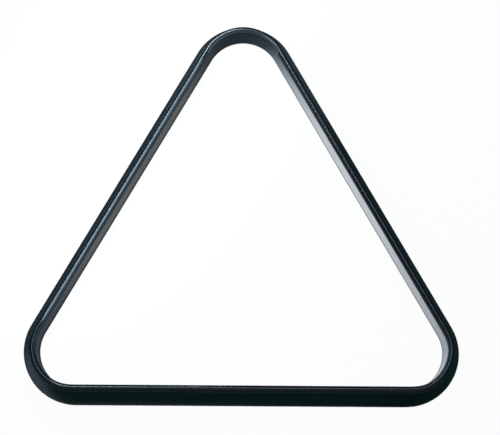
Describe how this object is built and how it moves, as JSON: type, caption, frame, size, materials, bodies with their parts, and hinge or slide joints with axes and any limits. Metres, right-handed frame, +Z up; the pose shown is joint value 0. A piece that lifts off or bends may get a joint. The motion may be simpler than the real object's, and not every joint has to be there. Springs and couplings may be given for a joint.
{
  "type": "triangle rack",
  "caption": "Triangular ball rack with rounded corners: an upright inner wall and a rolled rim on a skirt that slopes out to the foot, open in the middle.",
  "frame": {"origin": "middle of the footprint's bounding box, on the plane of the table", "axes": "+X along the base side, +Y towards the apex corner, +Z up from the table"},
  "size_m": [0.314, 0.2824, 0.032],
  "materials": {
    "inner_shell_plastic": "blue-black moulded ABS, satin gloss, bright along the rolled rim",
    "outer_shell_plastic": "black moulded ABS, satin gloss, lightly scuffed near the foot"
  },
  "bodies": {
    "root": {"inner_shell": "inner_shell_plastic", "outer_shell": "outer_shell_plastic"}
  },
  "joints": []
}
